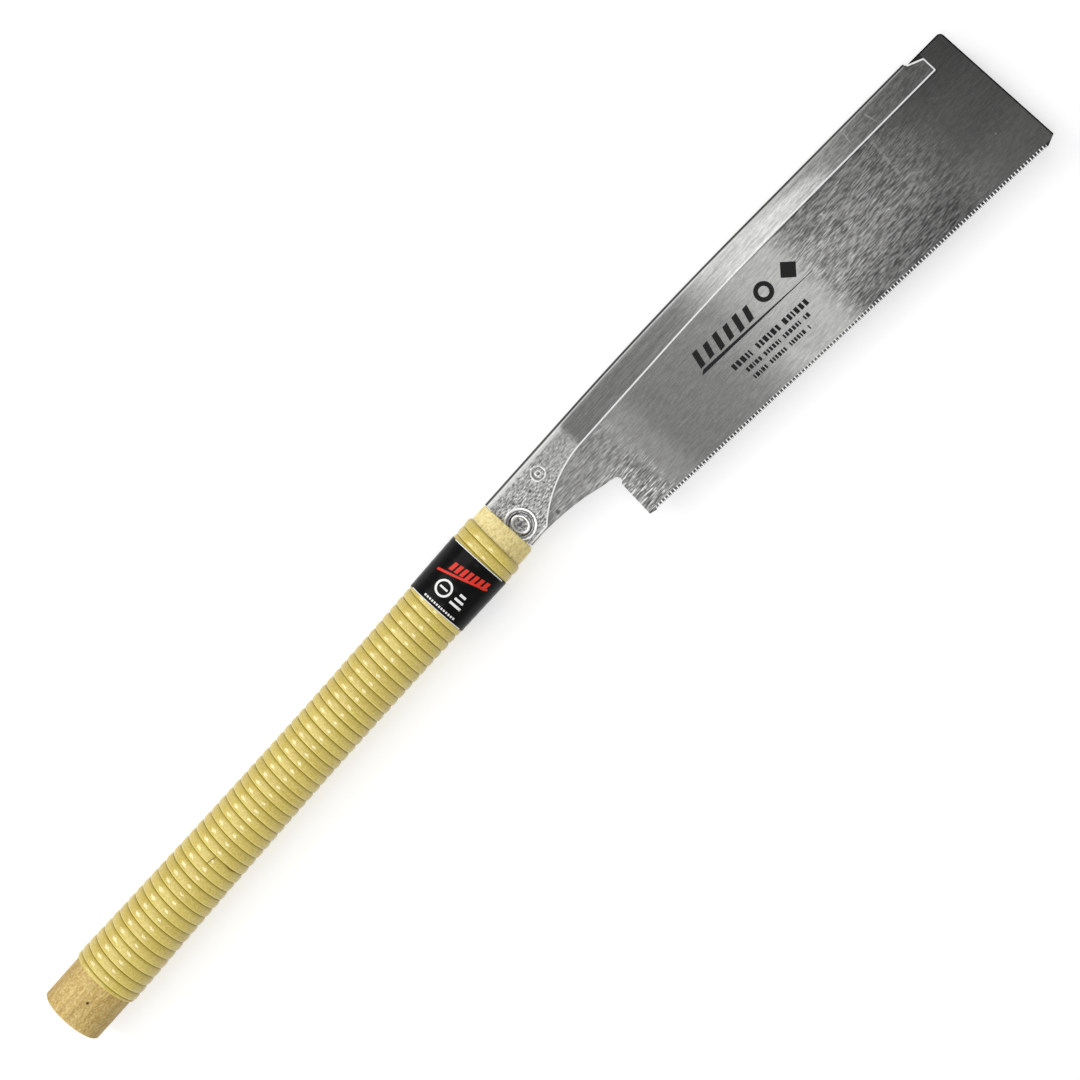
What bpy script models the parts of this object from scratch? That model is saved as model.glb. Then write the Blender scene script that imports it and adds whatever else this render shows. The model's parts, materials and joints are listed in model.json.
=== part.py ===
"""Japanese pull saw (dozuki): a cane-wound oval handle, a folded steel spine and a thin blade.

Frame, in metres: the origin is the centre of the butt's flat end face, +X runs along the
handle to the tip, +Y points to the spine side, and Z is square to the blade.
The blade hooks over a rivet in the neck and swings out of the folded spine on it.
"""
import math

import bmesh
import bpy
from mathutils import Matrix, Vector
from mathutils.geometry import interpolate_bezier

# ---------------------------------------------------------------- handle and winding
HANDLE_LENGTH = 0.2908
BUTT_HALF_WIDTH = 0.0151
WAIST_HALF_WIDTH = 0.01315
HEAD_HALF_WIDTH = 0.0145
BUTT_WOOD_X = 0.0220          # the bare wood at the butt ends here
WAIST_X = 0.165
HEAD_WOOD_X = 0.2826          # the bare wood at the head starts here
WAIST_POWER = 1.7             # how fast the waist swells towards both ends
FLATNESS = 0.77               # the oval's thickness over its width
EDGE_ROUND = 0.0010

WRAP_START_X = 0.01862
WRAP_TURNS = 55
WRAP_PITCH = 0.00499          # of the rear turns
WRAP_CLOSER = 0.00029         # the turns from about the 19th on lie closer by this much
WRAP_CLOSER_UNDER_LABEL = 0.0001125  # and closer again for eight turns there
WRAP_TAIL = 0.0038            # the strip's cut tail is this much narrower than a full turn
CANE_TAIL_WIDTH = 0.0004
WRAP_SPLICE_TURN = 15.497     # where one cane strip ends and the next starts
WRAP_SIDES = 16
CANE_LIFT = 0.00035           # underside of the strip above the wood
CANE_HEIGHT = 0.00125         # crown of the strip above the wood
CANE_SHOULDER = 0.0009        # how far the crown is narrower than the underside, each side
CANE_GAP = 0.00015

LABEL_X = (0.2425, 0.2713)
LABEL_LIFT = (0.00134, 0.00152)   # inside and outside of the film above the wood
LABEL_SIDES = 48

# ---------------------------------------------------------------- spine, neck and tang
NECK_X = 0.2911               # shoulder of the neck, against the wood
BACK_Y = 0.0146               # back edge over the handle
BACK_BEND_X = 0.350           # the back edge bends from here ...
BACK_BEND_RADIUS = 2.1
SLOPE = 0.05                  # ... until it falls at this slope
LIP_Y = 0.00065               # lower edge of the fold
LIP_BEND_X = 0.395
LIP_BEND_RADIUS = 1.5
FOLD_END_X = 0.5599
SPINE_END_X = 0.5682
NECK_LOW_Y = -0.0126
CHEEK_HALF = 0.00095          # half thickness over both cheeks
FOLD_HALF = 0.0015            # half thickness over the fold
FOLD_DEPTH = 0.0014           # steel above the slot
SLOT_HALF = 0.00025
SLOT_REAR_X = 0.2872

TANG_REAR_X = 0.218
TANG_HALF_WIDTH = 0.0105
TANG_TIP_HALF_WIDTH = 0.0060
TANG_HALF = 0.00094
FIT_GAP = 0.0003

PIN_X = {"tang_pin_front": 0.264, "tang_pin_rear": 0.234}
PIN_RADIUS = 0.0015
PIN_HOLE_RADIUS = 0.0016

# ---------------------------------------------------------------- rivet and blade
PIVOT = Vector((0.2951, -0.0031, 0.0))
SHAFT_RADIUS = 0.0025
SHAFT_HOLE_RADIUS = 0.0026
NOTCH_RADIUS = 0.00258
NOTCH_TILT = math.radians(15)     # the hook's mouth leans towards the handle
LOBE_RADIUS = 0.0068
HEAD_HALF = (0.0040, 0.0049)      # the rivet's formed heads are slightly oval

BLADE_HALF = 0.00015
BLADE_BACK_DROP = 0.0017          # blade's back edge under the spine's
BLADE_TIP_X = 0.5820
TIP_CORNER_RADIUS = 0.0024
TOE = Vector((0.5761, -0.0658))
TOE_BEVEL_Y = -0.0638
HEEL = Vector((0.3369, -0.0427))
HEEL_END = (0.3405, -0.0438)      # where the smooth heel meets the first tooth
TOOTH_LINE_SLOPE = 0.0936
TOOTH_PAIR_PITCH = 0.001875       # the teeth stand in pairs, with a deep gullet between pairs
TOOTH_PAIRS = 126
# One pair along the row and into the blade: gullet floor, two points that lean to the handle.
TOOTH_PAIR = ((0.0002, 0.0019), (0.00036, 0.0), (0.00086, 0.0009), (0.00136, 0.0), (0.00152, 0.0019))
BLADE_LOW_Y = -0.0132             # the blade's lower edge at the neck
LOW_BEND_X = 0.296
LOW_BEND_RADIUS = 0.114
LOW_SLOPE = 0.27
HEEL_NOTCH = Vector((0.33775, -0.0226))
HEEL_NOTCH_RADIUS = 0.0022


# ---------------------------------------------------------------- scene and materials
def clear_scene():
    for obj in list(bpy.data.objects):
        bpy.data.objects.remove(obj, do_unlink=True)


def new_collection(name):
    collection = bpy.data.collections.new(name)
    bpy.context.scene.collection.children.link(collection)
    return collection


def new_material(name, colour, roughness, metallic):
    material = bpy.data.materials.new(name)
    material.use_nodes = True
    shader = material.node_tree.nodes["Principled BSDF"]
    shader.inputs["Base Color"].default_value = (*colour, 1.0)
    shader.inputs["Roughness"].default_value = roughness
    shader.inputs["Metallic"].default_value = metallic
    return material


clear_scene()
SAW = new_collection("pull_saw")
CUTTERS = new_collection("cutters")
WOOD = new_material("wood", (0.66, 0.49, 0.24), 0.55, 0.0)
CANE = new_material("cane", (0.76, 0.62, 0.21), 0.35, 0.0)
FILM = new_material("label_film", (0.01, 0.01, 0.012), 0.2, 0.0)
STAINLESS = new_material("stainless", (0.48, 0.48, 0.47), 0.35, 1.0)
BLADE_STEEL = new_material("blade_steel", (0.36, 0.36, 0.35), 0.4, 1.0)
PIN_STEEL = new_material("pin_steel", (0.4, 0.4, 0.4), 0.4, 1.0)


# ---------------------------------------------------------------- general helpers
def place(mesh, name, material, location=(0.0, 0.0, 0.0)):
    """A finished piece of the saw, round where its faces meet at a low angle."""
    mesh.name = name
    mesh.materials.clear()
    mesh.materials.append(material)
    mesh.shade_smooth()
    mesh.set_sharp_from_angle(angle=math.radians(35))
    obj = bpy.data.objects.new(name, mesh)
    obj.location = location
    SAW.objects.link(obj)
    return obj


def cutter(mesh, name):
    obj = bpy.data.objects.new(name, mesh)
    obj.hide_render = True
    obj.display_type = "WIRE"
    CUTTERS.objects.link(obj)
    return obj


def boolean(obj, tool, operation):
    modifier = obj.modifiers.new(f"{operation.lower()} {tool.name}", "BOOLEAN")
    modifier.operation = operation
    modifier.solver = "EXACT"
    modifier.object = tool


def mesh_from(bm, name):
    bmesh.ops.recalc_face_normals(bm, faces=bm.faces)
    mesh = bpy.data.meshes.new(name)
    bm.to_mesh(mesh)
    bm.free()
    return mesh


def plate(name, outline, half_thickness):
    """A flat outline in the XY plane as a closed plate, from a filled 2D curve."""
    curve = bpy.data.curves.new(name, "CURVE")
    curve.dimensions = "2D"
    curve.fill_mode = "BOTH"
    curve.extrude = half_thickness
    spline = curve.splines.new("POLY")
    spline.points.add(len(outline) - 1)
    for point, (x, y) in zip(spline.points, outline):
        point.co = (x, y, 0.0, 1.0)
    spline.use_cyclic_u = True
    guide = bpy.data.objects.new(name, curve)
    CUTTERS.objects.link(guide)
    depsgraph = bpy.context.evaluated_depsgraph_get()
    mesh = bpy.data.meshes.new_from_object(guide.evaluated_get(depsgraph))
    bpy.data.objects.remove(guide)
    bm = bmesh.new()
    bm.from_mesh(mesh)
    bpy.data.meshes.remove(mesh)
    bmesh.ops.remove_doubles(bm, verts=bm.verts, dist=1e-6)
    return mesh_from(bm, name)


def loft(name, rings, closed=False):
    """Rings of equal length joined in order; open lofts get their two ends filled."""
    bm = bmesh.new()
    loops = [[bm.verts.new(point) for point in ring] for ring in rings]
    pairs = list(zip(loops, loops[1:]))
    if closed:
        pairs.append((loops[-1], loops[0]))
    for first, second in pairs:
        for i in range(len(first)):
            j = (i + 1) % len(first)
            bm.faces.new((first[i], first[j], second[j], second[i]))
    if not closed:
        bm.faces.new(loops[0])
        bm.faces.new(loops[-1])
    return mesh_from(bm, name)


def box(name, low, high):
    bm = bmesh.new()
    size = Vector(high) - Vector(low)
    centre = (Vector(high) + Vector(low)) / 2
    bmesh.ops.create_cube(bm, size=1.0, matrix=Matrix.Translation(centre) @ Matrix.Diagonal((*size, 1.0)))
    return mesh_from(bm, name)


def cylinder(name, x, y, radius, half_length, sides):
    """A round bar across the blade's plane."""
    bm = bmesh.new()
    bmesh.ops.create_cone(
        bm, cap_ends=True, segments=sides, radius1=radius, radius2=radius,
        depth=2 * half_length, matrix=Matrix.Translation((x, y, 0.0)))
    return mesh_from(bm, name)


def arc(centre, radius, start_deg, end_deg, steps):
    """Points of a circular arc in plan, both ends included."""
    points = []
    for i in range(steps + 1):
        angle = math.radians(start_deg + (end_deg - start_deg) * i / steps)
        points.append((centre[0] + radius * math.cos(angle), centre[1] + radius * math.sin(angle)))
    return points


def bent_line(x, y_start, bend_x, radius, slope):
    """Height of a line that is level, bends down on an arc and then falls at a slope."""
    run = slope * radius
    along = x - bend_x
    if along <= 0:
        return y_start
    if along <= run:
        return y_start - along * along / (2 * radius)
    return y_start - run * run / (2 * radius) - slope * (along - run)


def steps_between(start, end, count):
    return [start + (end - start) * i / count for i in range(count + 1)]


# ---------------------------------------------------------------- handle
def half_width(x):
    """Half width of the wooden handle, in the blade's plane."""
    if x <= BUTT_WOOD_X:
        return BUTT_HALF_WIDTH
    if x <= WAIST_X:
        part = (WAIST_X - x) / (WAIST_X - BUTT_WOOD_X)
        return WAIST_HALF_WIDTH + (BUTT_HALF_WIDTH - WAIST_HALF_WIDTH) * part ** WAIST_POWER
    part = min((x - WAIST_X) / (HEAD_WOOD_X - WAIST_X), 1.0)
    return WAIST_HALF_WIDTH + (HEAD_HALF_WIDTH - WAIST_HALF_WIDTH) * part ** WAIST_POWER


def make_handle_core():
    """One piece of wood: a turned profile made oval, with a mortise for the tang."""
    stations = [EDGE_ROUND, *steps_between(BUTT_WOOD_X, HEAD_WOOD_X, 13), HANDLE_LENGTH - EDGE_ROUND / 2]
    outline = [(0.0, HANDLE_LENGTH), (HEAD_HALF_WIDTH - EDGE_ROUND / 2, HANDLE_LENGTH)]
    outline += [(half_width(x), x) for x in reversed(stations)]
    outline += [(BUTT_HALF_WIDTH - EDGE_ROUND, 0.0), (0.0, 0.0)]
    mesh = bpy.data.meshes.new("handle_core")
    points = [(radius, 0.0, height) for radius, height in outline]
    mesh.from_pydata(points, [(i, i + 1) for i in range(len(points) - 1)], [])
    core = place(mesh, "handle_core", WOOD)
    turn = core.modifiers.new("turn", "SCREW")
    turn.axis = "Z"
    turn.angle = math.tau
    turn.steps = 32
    turn.render_steps = 32
    turn.use_merge_vertices = True
    turn.merge_threshold = 1e-5
    # The turned profile stands on Z: Z becomes the saw's X, X its Y and Y its thinner Z.
    core.matrix_world = Matrix(((0, 0, 1, 0), (1, 0, 0, 0), (0, FLATNESS, 0, 0), (0, 0, 0, 1)))
    mortise_half = TANG_HALF_WIDTH + FIT_GAP
    mortise = box("mortise",
                  (TANG_REAR_X - FIT_GAP, -mortise_half, -TANG_HALF - FIT_GAP),
                  (HANDLE_LENGTH + 0.01, mortise_half, TANG_HALF + FIT_GAP))
    relief = box("blade_relief", (SLOT_REAR_X - 0.0007, -0.03, -0.00045), (HANDLE_LENGTH + 0.01, 0.0, 0.00045))
    boolean(core, cutter(mortise, "mortise"), "DIFFERENCE")
    boolean(core, cutter(relief, "blade_relief"), "DIFFERENCE")
    for name, x in PIN_X.items():
        hole = cylinder(f"{name}_hole", x, 0.0, PIN_HOLE_RADIUS, 0.02, 16)
        boolean(core, cutter(hole, f"{name}_hole"), "DIFFERENCE")


def wrap_x(turn):
    """Where the winding's edge between two strips lies after so many turns."""
    closer = WRAP_CLOSER * 3 * math.log(1 + math.exp((turn - 19) / 3))
    closer += WRAP_CLOSER_UNDER_LABEL * min(max(turn - 45, 0), 8)
    tail = WRAP_TAIL * math.exp(-1.45 * turn)
    return WRAP_START_X + WRAP_PITCH * turn - closer + tail


def oval_point(x, angle, lift):
    """A point at a height above the wood's surface; the angle runs from +Y over +Z."""
    width = half_width(x)
    return Vector((x, (width + lift) * math.cos(angle), (width * FLATNESS + lift) * math.sin(angle)))


def cane_strip(name, first_turn, last_turn):
    """A left-handed helical strip, flat inside and crowned outside, trimmed square at the head."""
    count = round((last_turn - first_turn) * WRAP_SIDES)
    rings = []
    for turn in steps_between(first_turn, last_turn, count):
        angle = -math.pi / 2 - math.tau * turn
        front = min(wrap_x(turn + 0.5), HEAD_WOOD_X) - CANE_GAP / 2
        rear = min(wrap_x(turn - 0.5) + CANE_GAP / 2, front - CANE_TAIL_WIDTH)
        shoulder = CANE_SHOULDER * min(1.0, (front - rear) / WRAP_TAIL)
        rings.append([
            oval_point(front, angle, CANE_LIFT),
            oval_point(front - shoulder, angle, CANE_HEIGHT),
            oval_point(rear + shoulder, angle, CANE_HEIGHT),
            oval_point(rear, angle, CANE_LIFT)])
    place(loft(name, rings), name, CANE)


def make_label_band():
    rings = []
    for i in range(LABEL_SIDES):
        angle = math.tau * i / LABEL_SIDES
        rear, front = LABEL_X
        inside, outside = LABEL_LIFT
        corners = ((rear, inside), (rear, outside), (front, outside), (front, inside))
        rings.append([oval_point(x, angle, lift) for x, lift in corners])
    place(loft("label_band", rings, closed=True), "label_band", FILM)


# ---------------------------------------------------------------- spine holder
def back_y(x):
    return bent_line(x, BACK_Y, BACK_BEND_X, BACK_BEND_RADIUS, SLOPE)


def lip_y(x):
    return bent_line(x, LIP_Y, LIP_BEND_X, LIP_BEND_RADIUS, SLOPE)


def back_stations(start, end):
    """Stations for the back edge: close on the bend, at its ends where it is straight."""
    bend_end = BACK_BEND_X + SLOPE * BACK_BEND_RADIUS
    bend = steps_between(BACK_BEND_X, bend_end, 10)
    return [start, *[x for x in bend if start < x < end], end]


def fold_form():
    """The folded sheet's outer form: a teardrop, thickest just under the back edge."""
    profile = ((0.0, 0.00045), (0.00025, 0.00095), (0.0008, 0.00135), (0.0016, FOLD_HALF),
               (0.0036, 0.00138), (0.009, 0.00105), (0.0134, CHEEK_HALF), (0.040, CHEEK_HALF))
    rings = []
    for x in back_stations(NECK_X, SPINE_END_X + 0.005):
        top = back_y(x)
        side = [(x, top - drop, half) for drop, half in profile]
        rings.append(side + [(x, y, -z) for x, y, z in reversed(side)])
    return loft("spine_holder", rings)


def holder_outline():
    """The neck's cheek, its S-shaped front edge, the fold's lip and the cut front end."""
    s_curve = interpolate_bezier(
        Vector((0.3025, NECK_LOW_Y)), Vector((0.3117, -0.0049)),
        Vector((0.3260, LIP_Y)), Vector((0.3400, LIP_Y)), 17)
    lip_bend_end = LIP_BEND_X + SLOPE * LIP_BEND_RADIUS
    above = 0.02
    outline = [(NECK_X - 0.001, NECK_LOW_Y), (0.3015, NECK_LOW_Y - 0.0001)]
    outline += [tuple(point) for point in s_curve]
    outline += [(x, lip_y(x)) for x in steps_between(LIP_BEND_X, lip_bend_end, 8)]
    corner = 0.0007
    low = lip_y(SPINE_END_X)
    outline += arc((SPINE_END_X - corner, low + corner), corner, -90, 0, 4)
    outline += [(SPINE_END_X, 0.0016), (FOLD_END_X + 0.0006, 0.0052), (FOLD_END_X, above)]
    outline.append((NECK_X - 0.001, above))
    return outline


def make_spine_holder():
    """One folded sheet: the spine's channel, the neck's two cheeks and the tang between the wood."""
    holder = place(fold_form(), "spine_holder", STAINLESS)
    boolean(holder, cutter(plate("holder_outline", holder_outline(), 0.004), "holder_outline"), "INTERSECT")
    tang = [(NECK_X + 0.004, -TANG_HALF_WIDTH), (NECK_X + 0.004, TANG_HALF_WIDTH),
            (0.270, TANG_HALF_WIDTH), (TANG_REAR_X + 0.002, TANG_TIP_HALF_WIDTH),
            (TANG_REAR_X, TANG_TIP_HALF_WIDTH - 0.002), (TANG_REAR_X, 0.002 - TANG_TIP_HALF_WIDTH),
            (TANG_REAR_X + 0.002, -TANG_TIP_HALF_WIDTH), (0.270, -TANG_HALF_WIDTH)]
    boolean(holder, cutter(plate("tang", tang, TANG_HALF), "tang"), "UNION")
    slot = [(SLOT_REAR_X, -0.03), (SLOT_REAR_X, 0.0056), (0.2972, 0.0056)]
    slot += [(x, back_y(x) - FOLD_DEPTH) for x in back_stations(0.3046, SPINE_END_X + 0.01)]
    slot.append((SPINE_END_X + 0.01, -0.03))
    boolean(holder, cutter(plate("blade_slot", slot, SLOT_HALF), "blade_slot"), "DIFFERENCE")
    bore = cylinder("rivet_hole", PIVOT.x, PIVOT.y, SHAFT_HOLE_RADIUS, 0.004, 32)
    boolean(holder, cutter(bore, "rivet_hole"), "DIFFERENCE")
    for name, x in PIN_X.items():
        hole = cylinder(f"{name}_bore", x, 0.0, PIN_HOLE_RADIUS, 0.004, 16)
        boolean(holder, cutter(hole, f"{name}_bore"), "DIFFERENCE")


def make_pins():
    for name, x in PIN_X.items():
        half_length = half_width(x) * FLATNESS - 0.0004
        place(cylinder(name, 0.0, 0.0, PIN_RADIUS, half_length, 16), name, PIN_STEEL, (x, 0.0, 0.0))


def make_hook_rivet():
    """A round shaft through both cheeks with a dished head formed on each end."""
    sides = 32
    underside = CHEEK_HALF + 0.00005
    head = ((0.93, underside), (1.0, underside + 0.0002), (0.96, underside + 0.00055),
            (0.86, underside + 0.0007), (0.76, underside + 0.0006), (0.60, underside + 0.0003))

    def ring(across, along, z):
        angles = [math.tau * i / sides for i in range(sides)]
        return [(across * math.cos(angle), along * math.sin(angle), z) for angle in angles]

    half = [ring(SHAFT_RADIUS, SHAFT_RADIUS, underside)]
    half += [ring(HEAD_HALF[0] * share, HEAD_HALF[1] * share, z) for share, z in head]
    other = [[(x, y, -z) for x, y, z in points] for points in reversed(half)]
    place(loft("hook_rivet", other + half), "hook_rivet", STAINLESS, PIVOT)


# ---------------------------------------------------------------- blade
def tooth_row():
    """Points of the tooth row from the heel to the toe, pair by pair."""
    along = Vector((1.0, -TOOTH_LINE_SLOPE)).normalized()
    inward = Vector((-along.y, along.x))
    start = TOE - along * TOOTH_PAIR_PITCH * TOOTH_PAIRS
    points = []
    for i in range(TOOTH_PAIRS):
        corner = start + along * TOOTH_PAIR_PITCH * i
        points += [tuple(corner + along * run + inward * depth) for run, depth in TOOTH_PAIR]
    return points


def hook_outline():
    """The blade's rear end around the rivet: front wall, notch under the shaft and rear lobe."""
    mouth = math.degrees(NOTCH_TILT)
    out = Vector((-math.sin(NOTCH_TILT), math.cos(NOTCH_TILT)))
    side = Vector((out.y, -out.x)) * NOTCH_RADIUS
    centre = PIVOT.xy
    points = [(0.3056, back_y(0.3056) - BLADE_BACK_DROP), tuple(centre + side + out * 0.0068)]
    points += arc(centre, NOTCH_RADIUS, mouth, mouth - 180, 16)
    points.append(tuple(centre - side + out * 0.0038))
    points += arc(centre, LOBE_RADIUS, 140, 235, 12)
    return points


def lower_edge():
    """From the neck down to the heel notch, and round it to the heel."""
    points = [(0.2916, BLADE_LOW_Y)]
    bend_end = LOW_BEND_X + LOW_SLOPE * LOW_BEND_RADIUS
    stations = [*steps_between(LOW_BEND_X, bend_end, 8), 0.3376]
    points += [(x, bent_line(x, BLADE_LOW_Y, LOW_BEND_X, LOW_BEND_RADIUS, LOW_SLOPE)) for x in stations]
    points += arc(HEEL_NOTCH, HEEL_NOTCH_RADIUS, 68, -18, 6)
    points += [(0.3393, -0.0240), (0.3385, -0.0247)]
    return points


def blade_outline():
    tip_corner = (BLADE_TIP_X - TIP_CORNER_RADIUS,
                  back_y(BLADE_TIP_X - TIP_CORNER_RADIUS) - BLADE_BACK_DROP - TIP_CORNER_RADIUS)
    outline = [tuple(HEEL), HEEL_END, *tooth_row(), tuple(TOE), (BLADE_TIP_X, TOE_BEVEL_Y)]
    outline += arc(tip_corner, TIP_CORNER_RADIUS, 0, 90, 6)
    back = back_stations(0.3056, BLADE_TIP_X - TIP_CORNER_RADIUS)[1:-1]
    outline += [(x, back_y(x) - BLADE_BACK_DROP) for x in reversed(back)]
    return outline + hook_outline() + lower_edge()


def make_blade():
    """A thin plate, placed on the rivet's axis, which it hooks over and swings on."""
    outline = [(x - PIVOT.x, y - PIVOT.y) for x, y in blade_outline()]
    place(plate("blade", outline, BLADE_HALF), "blade", BLADE_STEEL, PIVOT)


make_handle_core()
cane_strip("cane_strip_rear", 0.0, WRAP_SPLICE_TURN - 0.01)
cane_strip("cane_strip_front", WRAP_SPLICE_TURN + 0.01, WRAP_TURNS)
make_label_band()
make_spine_holder()
make_pins()
make_hook_rivet()
make_blade()
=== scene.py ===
"""Looks of the cane-wound pull saw: its visible pieces, materials, camera and lights."""
import json
import math
import random

import bmesh
import bpy
from mathutils import Matrix, Vector
from mathutils.geometry import delaunay_2d_cdt, interpolate_bezier


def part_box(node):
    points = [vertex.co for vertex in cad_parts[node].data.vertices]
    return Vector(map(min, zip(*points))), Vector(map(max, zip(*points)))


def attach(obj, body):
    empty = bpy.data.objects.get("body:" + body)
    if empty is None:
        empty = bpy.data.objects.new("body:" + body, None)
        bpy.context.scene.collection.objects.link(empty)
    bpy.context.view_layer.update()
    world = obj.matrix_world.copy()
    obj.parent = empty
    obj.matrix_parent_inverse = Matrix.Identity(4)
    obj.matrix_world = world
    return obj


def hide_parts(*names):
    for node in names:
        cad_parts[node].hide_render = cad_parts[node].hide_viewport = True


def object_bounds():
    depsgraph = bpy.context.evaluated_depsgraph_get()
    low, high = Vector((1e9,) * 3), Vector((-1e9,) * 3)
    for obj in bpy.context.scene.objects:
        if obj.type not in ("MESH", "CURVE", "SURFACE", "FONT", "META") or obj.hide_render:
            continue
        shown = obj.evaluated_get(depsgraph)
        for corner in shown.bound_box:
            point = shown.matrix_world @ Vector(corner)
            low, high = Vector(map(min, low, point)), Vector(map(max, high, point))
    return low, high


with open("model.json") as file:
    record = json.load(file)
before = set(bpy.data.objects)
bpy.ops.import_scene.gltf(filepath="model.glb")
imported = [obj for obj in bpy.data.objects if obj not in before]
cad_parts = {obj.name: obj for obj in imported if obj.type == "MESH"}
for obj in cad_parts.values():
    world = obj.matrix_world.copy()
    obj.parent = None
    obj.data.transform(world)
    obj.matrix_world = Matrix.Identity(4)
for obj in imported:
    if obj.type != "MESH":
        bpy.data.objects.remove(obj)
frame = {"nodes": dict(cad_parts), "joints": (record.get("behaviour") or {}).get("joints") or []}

CAD_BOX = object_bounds()
MM = 0.001

# ---- sizes read from the frame
_, WOOD_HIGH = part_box("handle_core")
HOLDER_LOW, HOLDER_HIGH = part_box("spine_holder")
_, BLADE_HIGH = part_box("blade")
RIVET_LOW, RIVET_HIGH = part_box("hook_rivet")
RIVET_HALF = (RIVET_HIGH - RIVET_LOW) / 2
LABEL_LOW, LABEL_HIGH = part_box("label_band")
PIVOT = Vector(frame["joints"][0]["pos_m"])

HANDLE_LENGTH = WOOD_HIGH.x
BUTT_HALF_WIDTH = WOOD_HIGH.y
FLATNESS = WOOD_HIGH.z / WOOD_HIGH.y
BACK_Y = HOLDER_HIGH.y
SPINE_END_X = HOLDER_HIGH.x
TANG_REAR_X = HOLDER_LOW.x
BLADE_TIP_X = BLADE_HIGH.x
BLADE_HALF = BLADE_HIGH.z

# ---- the design's other sizes
WAIST_HALF_WIDTH = 13.15 * MM
HEAD_HALF_WIDTH = 14.5 * MM
BUTT_WOOD_X = 22.0 * MM
WAIST_X = 165.0 * MM
HEAD_WOOD_X = 282.6 * MM
WAIST_POWER = 1.7

WRAP_START_X = 18.62 * MM
WRAP_TURNS = 55
WRAP_PITCH = 4.99 * MM
WRAP_CLOSER = 0.29 * MM
WRAP_CLOSER_UNDER_LABEL = 0.1125 * MM
WRAP_TAIL = 3.8 * MM
CANE_TAIL_WIDTH = 0.4 * MM
WRAP_SPLICE_TURN = 15.497
CANE_LIFT = 0.1 * MM
CANE_HEIGHT = 1.33 * MM
# Places across the strip, and the share of its height reached there.
CANE_CROWN = ((0.0, 0.04), (0.003, 0.36), (0.015, 0.50), (0.05, 0.62), (0.12, 0.76), (0.24, 0.90),
              (0.38, 0.985), (0.5, 1.0), (0.62, 0.985), (0.76, 0.93), (0.87, 0.84), (0.94, 0.74),
              (0.98, 0.62), (0.996, 0.46), (1.0, 0.04))

END_ROUND = 1.0 * MM              # of the butt's edge
NOSE_ROUND = 0.5 * MM             # of the head's edge
MORTISE_HALF = 1.24 * MM
SLIT_X = 286.5 * MM               # where the slit for the blade's rear corner starts
SLIT_HALF = 0.45 * MM
PIN_HOLE_RADIUS = 1.6 * MM
TANG_PINS = ("tang_pin_front", "tang_pin_rear")

NECK_X = 291.1 * MM
NECK_LOW_Y = -12.6 * MM
BACK_BEND_X = 350.0 * MM
BACK_BEND_RADIUS = 2.1
SLOPE = 0.05
LIP_Y = 0.65 * MM
LIP_BEND_X = 395.0 * MM
LIP_BEND_RADIUS = 1.5
FOLD_END_X = 559.9 * MM
LIP_CORNER = 0.7 * MM
STAMP = (317.2 * MM, 6.1 * MM)
STAMP_RADII = (3.3 * MM, 1.2 * MM)
CHEEK_HALF = 0.95 * MM
SHEET = 0.7 * MM
TANG_HALF_WIDTH = 10.5 * MM
RING_RADIUS = 7.1 * MM            # of the bead pressed round the rivet
INNER_RING_RADIUS = 5.55 * MM
PAN_RADIUS = 5.15 * MM
PAN_DEPTH = 0.15 * MM
SHAFT_RADIUS = 2.5 * MM
# The rivet head's outline: shares of its half width and of its height.
RIVET_HEAD = ((0.93, 0.0), (0.985, 0.1), (1.0, 0.25), (1.0, 0.45), (0.99, 0.66), (0.965, 0.84),
              (0.93, 0.95), (0.88, 1.0), (0.82, 0.99), (0.765, 0.92), (0.72, 0.78), (0.69, 0.60),
              (0.665, 0.42), (0.63, 0.30), (0.57, 0.25), (0.35, 0.26), (0.15, 0.30))
RIM = 0.4 * MM                    # width of the sheet's rounded, deburred edge
CUT_START = Vector((FOLD_END_X + 0.6 * MM, 5.2 * MM))
CUT_END = Vector((SPINE_END_X, 1.6 * MM))
CUT_NORMAL = Vector((CUT_START.y - CUT_END.y, CUT_END.x - CUT_START.x)).normalized()
# Drop under the back edge and half thickness there, in millimetres, down to the flat cheek.
FOLD = ((0.0, 0.0), (0.02, 0.35), (0.12, 0.7), (0.32, 1.0), (0.62, 1.25), (1.05, 1.42), (1.6, 1.5),
        (2.4, 1.48), (3.6, 1.38), (5.5, 1.24), (7.5, 1.13), (10.0, 1.03), (13.4, 0.95))

BLADE_BACK_DROP = 1.7 * MM
TIP_CORNER_RADIUS = 2.4 * MM
TOE = Vector((576.1, -65.8)) * MM
TOE_BEVEL_Y = -63.8 * MM
HEEL = Vector((336.9, -42.7)) * MM
HEEL_END = Vector((340.5, -43.8)) * MM
TOOTH_LINE_SLOPE = 0.0936
TOOTH_PAIR_PITCH = 1.875 * MM
TOOTH_PAIRS = 126
TOOTH_SET = 0.11 * MM
HEEL_NOTCH = Vector((337.75, -22.6)) * MM
HEEL_NOTCH_RADIUS = 2.2 * MM
HOOK_RADIUS = 6.8 * MM
HOOK_NOTCH_RADIUS = 2.58 * MM
# One pair of teeth: run along the tooth line and depth above it, in millimetres.
TOOTH_PAIR = ((0.2, 1.9), (0.36, 0.0), (0.86, 0.9), (1.36, 0.0), (1.52, 1.9))

SKY_BRIGHT = 0.43
SKY_DARK = 0.15
SKY_GLOW = 0.55
WHITE = (1.0, 1.0, 1.0, 1.0)


# ---- mesh helpers
def steps_between(start, end, count):
    return [start + (end - start) * i / count for i in range(count + 1)]


def arc(centre, radius, start_deg, end_deg, steps):
    x, y = centre
    angles = [math.radians(a) for a in steps_between(start_deg, end_deg, steps)]
    return [Vector((x + radius * math.cos(a), y + radius * math.sin(a))) for a in angles]


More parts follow.
